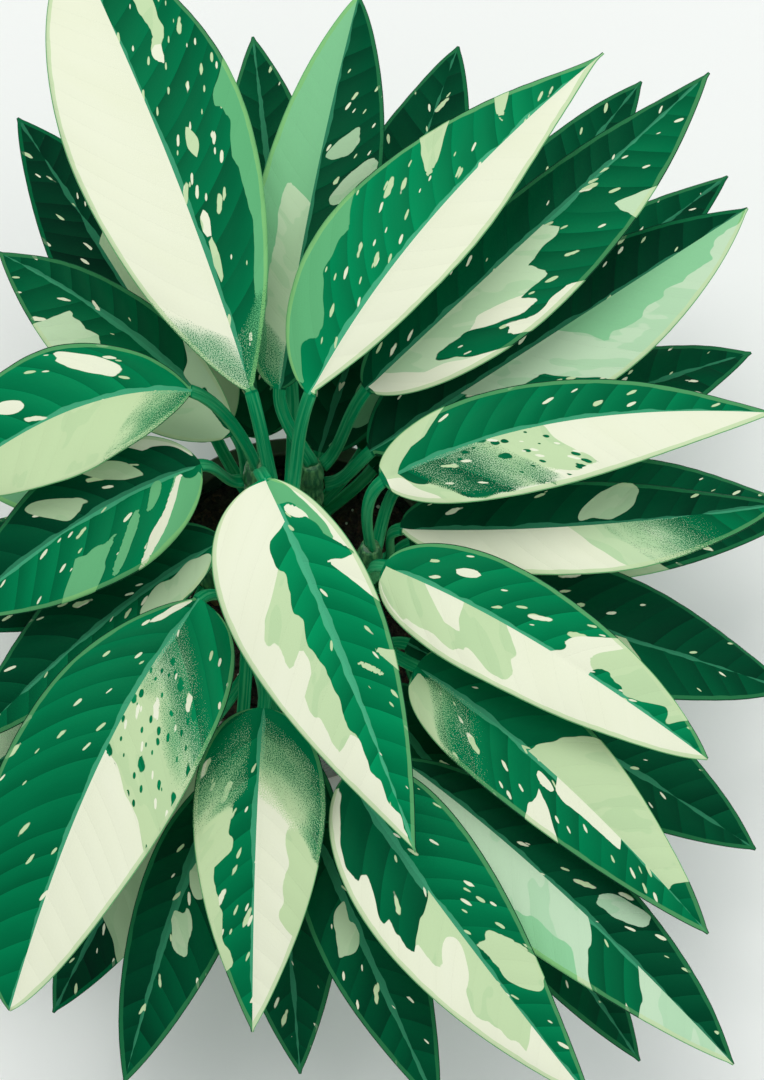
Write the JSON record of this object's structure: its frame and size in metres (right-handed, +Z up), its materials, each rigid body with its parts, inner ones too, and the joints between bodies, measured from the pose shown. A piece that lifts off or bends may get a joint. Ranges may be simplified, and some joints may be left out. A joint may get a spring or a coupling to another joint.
{
  "type": "potted monstera",
  "caption": "Bushy potted plant: lance-shaped variegated leaves on petioles from several rooted stems, standing in soil in a plain tapered pot with a flat underside.",
  "frame": {"origin": "centre of the pot's flat underside, on the surface that the pot stands on", "axes": "+Z up along the pot's axis, -Y towards the side from which the picture looks down on the plant, +X to that view's right"},
  "size_m": [0.5106, 0.568, 0.3564],
  "materials": {
    "pot_glaze": "satin",
    "soil": "matte",
    "stem": "satin",
    "leaf": "satin"
  },
  "bodies": {
    "root": {"pot": "pot_glaze", "soil": "soil", "stem_1": "stem", "stem_2": "stem", "stem_3": "stem", "stem_4": "stem", "stem_5": "stem", "stem_6": "stem", "stem_7": "stem", "crown_leaf_1": "leaf", "crown_leaf_2": "leaf", "crown_leaf_3": "leaf", "crown_leaf_4": "leaf", "crown_leaf_5": "leaf", "crown_leaf_6": "leaf", "crown_leaf_7": "leaf", "middle_leaf_1": "leaf", "middle_leaf_2": "leaf", "middle_leaf_3": "leaf", "middle_leaf_4": "leaf", "middle_leaf_5": "leaf", "middle_leaf_6": "leaf", "middle_leaf_7": "leaf", "middle_leaf_8": "leaf", "middle_leaf_9": "leaf", "middle_leaf_10": "leaf", "middle_leaf_11": "leaf", "middle_leaf_12": "leaf", "middle_leaf_13": "leaf", "middle_leaf_14": "leaf", "lower_leaf_1": "leaf", "lower_leaf_2": "leaf", "lower_leaf_3": "leaf", "lower_leaf_4": "leaf", "lower_leaf_5": "leaf", "lower_leaf_6": "leaf", "lower_leaf_7": "leaf", "lower_leaf_8": "leaf", "lower_leaf_9": "leaf", "lower_leaf_10": "leaf", "lower_leaf_11": "leaf", "lower_leaf_12": "leaf", "lower_leaf_13": "leaf", "lower_leaf_14": "leaf", "lower_leaf_15": "leaf"}
  },
  "joints": []
}
